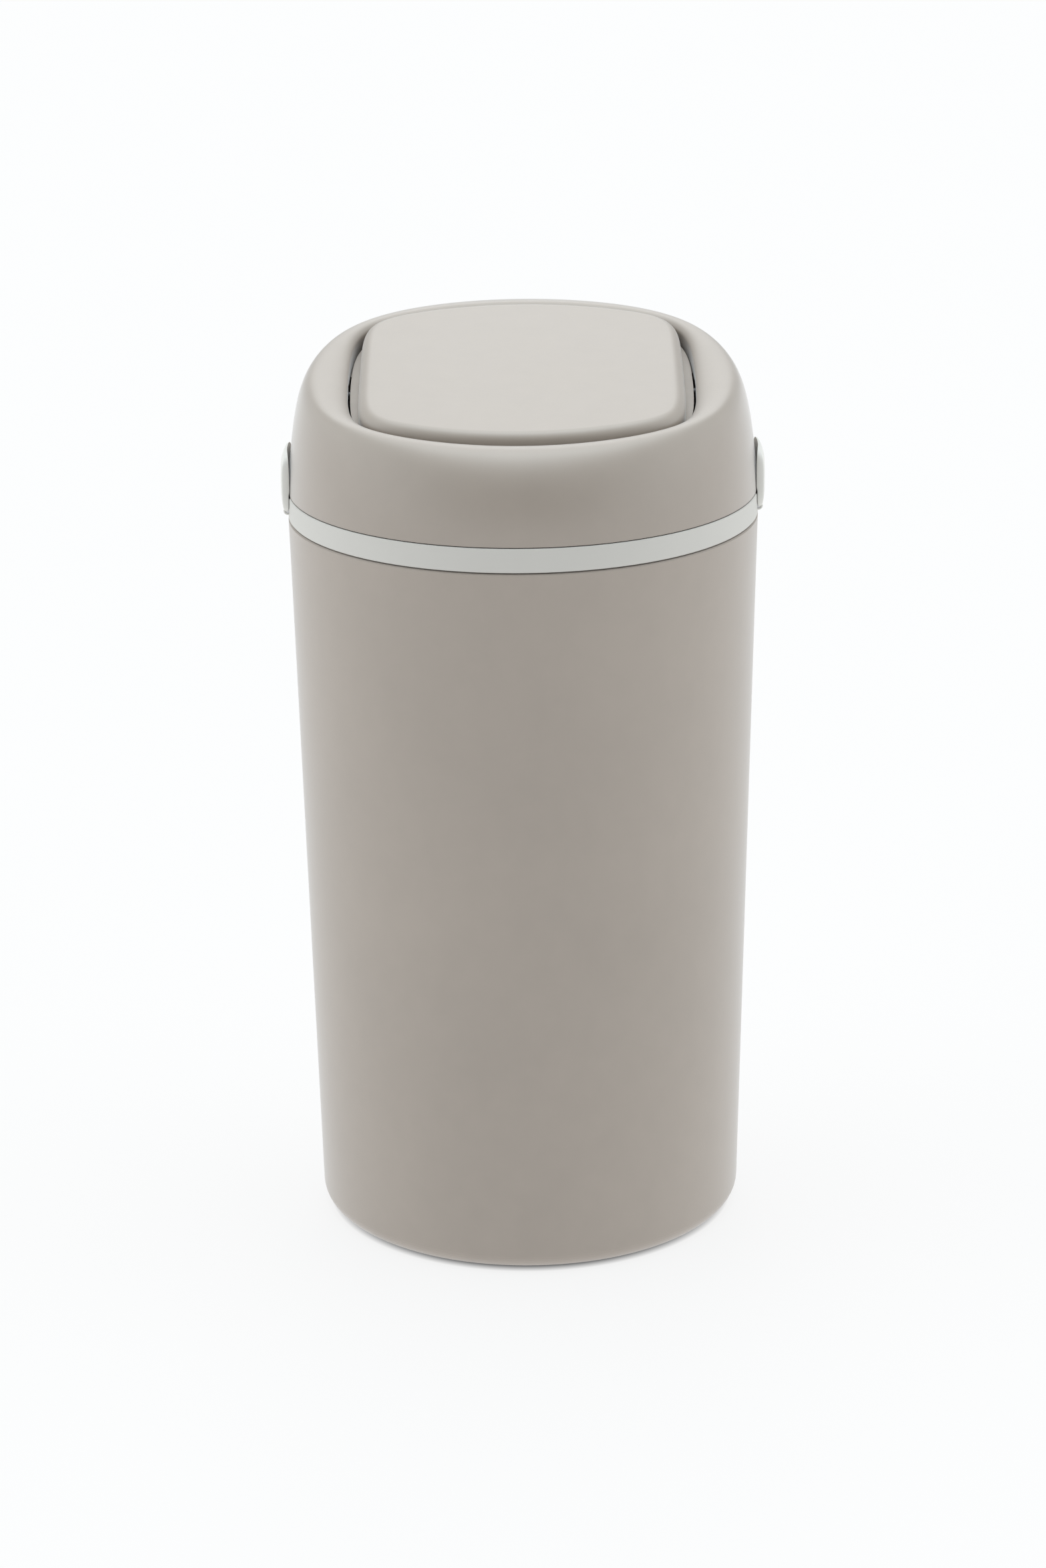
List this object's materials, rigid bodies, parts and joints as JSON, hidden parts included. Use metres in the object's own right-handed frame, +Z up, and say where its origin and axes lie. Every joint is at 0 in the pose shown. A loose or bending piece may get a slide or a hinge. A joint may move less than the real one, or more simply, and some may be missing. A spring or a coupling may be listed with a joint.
{
  "type": "nappy bin",
  "caption": "Round tapered nappy bin with a white bag ring, side clips and a sloping domed lid that carries a sprung tilting flap.",
  "frame": {"origin": "centre of the base at the level of the feet's lower faces", "axes": "+Z up the bin, +X to the right seen from the front, -Y out of the front, where the lid is lowest"},
  "size_m": [0.2674, 0.26, 0.506],
  "materials": {
    "shell_plastic": "satin warm taupe moulded plastic",
    "lid_plastic": "satin warm taupe moulded plastic",
    "flap_plastic": "satin warm taupe moulded plastic",
    "inner_plastic": "fine matte taupe moulded plastic",
    "white_plastic": "satin off-white moulded plastic",
    "bush_plastic": "dark grey bearing plastic",
    "rubber": "dark matte elastomer",
    "steel": "bright drawn steel"
  },
  "bodies": {
    "bucket": {"bucket_shell": "shell_plastic", "foot_pads": "rubber"},
    "collar": {"collar_ring": "white_plastic", "collar_gasket": "rubber"},
    "clip_l": {"clip_left": "white_plastic", "clip_pin_left": "steel"},
    "clip_r": {"clip_right": "white_plastic", "clip_pin_right": "steel"},
    "lid": {"lid_dome": "lid_plastic", "lid_gasket": "rubber", "flap_frame": "inner_plastic", "flap_seal": "rubber", "bush_left": "bush_plastic", "bush_right": "bush_plastic", "spring_left": "steel", "spring_right": "steel"},
    "flap": {"flap_cap": "flap_plastic", "flap_tray": "inner_plastic", "pivot_pin_left": "steel", "pivot_pin_right": "steel", "flap_screws": "steel"}
  },
  "joints": [
    {"name": "collar_lift", "type": "slide", "parent": "bucket", "child": "collar", "axis": [0, 0, 1], "range_m": [0, 0.08]},
    {"name": "clip_l_hinge", "type": "hinge", "parent": "collar", "child": "clip_l", "pos_m": [-0.1296, 0, 0.414], "axis": [0, -1, 0], "range_deg": [0, 40]},
    {"name": "clip_r_hinge", "type": "hinge", "parent": "collar", "child": "clip_r", "pos_m": [0.1296, 0, 0.414], "axis": [0, 1, 0], "range_deg": [0, 40]},
    {"name": "lid_lift", "type": "slide", "parent": "collar", "child": "lid", "axis": [0, 0, 1], "range_m": [0, 0.12]},
    {"name": "flap_hinge", "type": "hinge", "parent": "lid", "child": "flap", "pos_m": [0, 0.00295, 0.47366], "axis": [1, 0, 0], "range_deg": [0, 70], "stiffness_Nm_per_rad": 0.15, "springref_deg": -17.19, "deforming": ["spring_left", "spring_right"]}
  ]
}
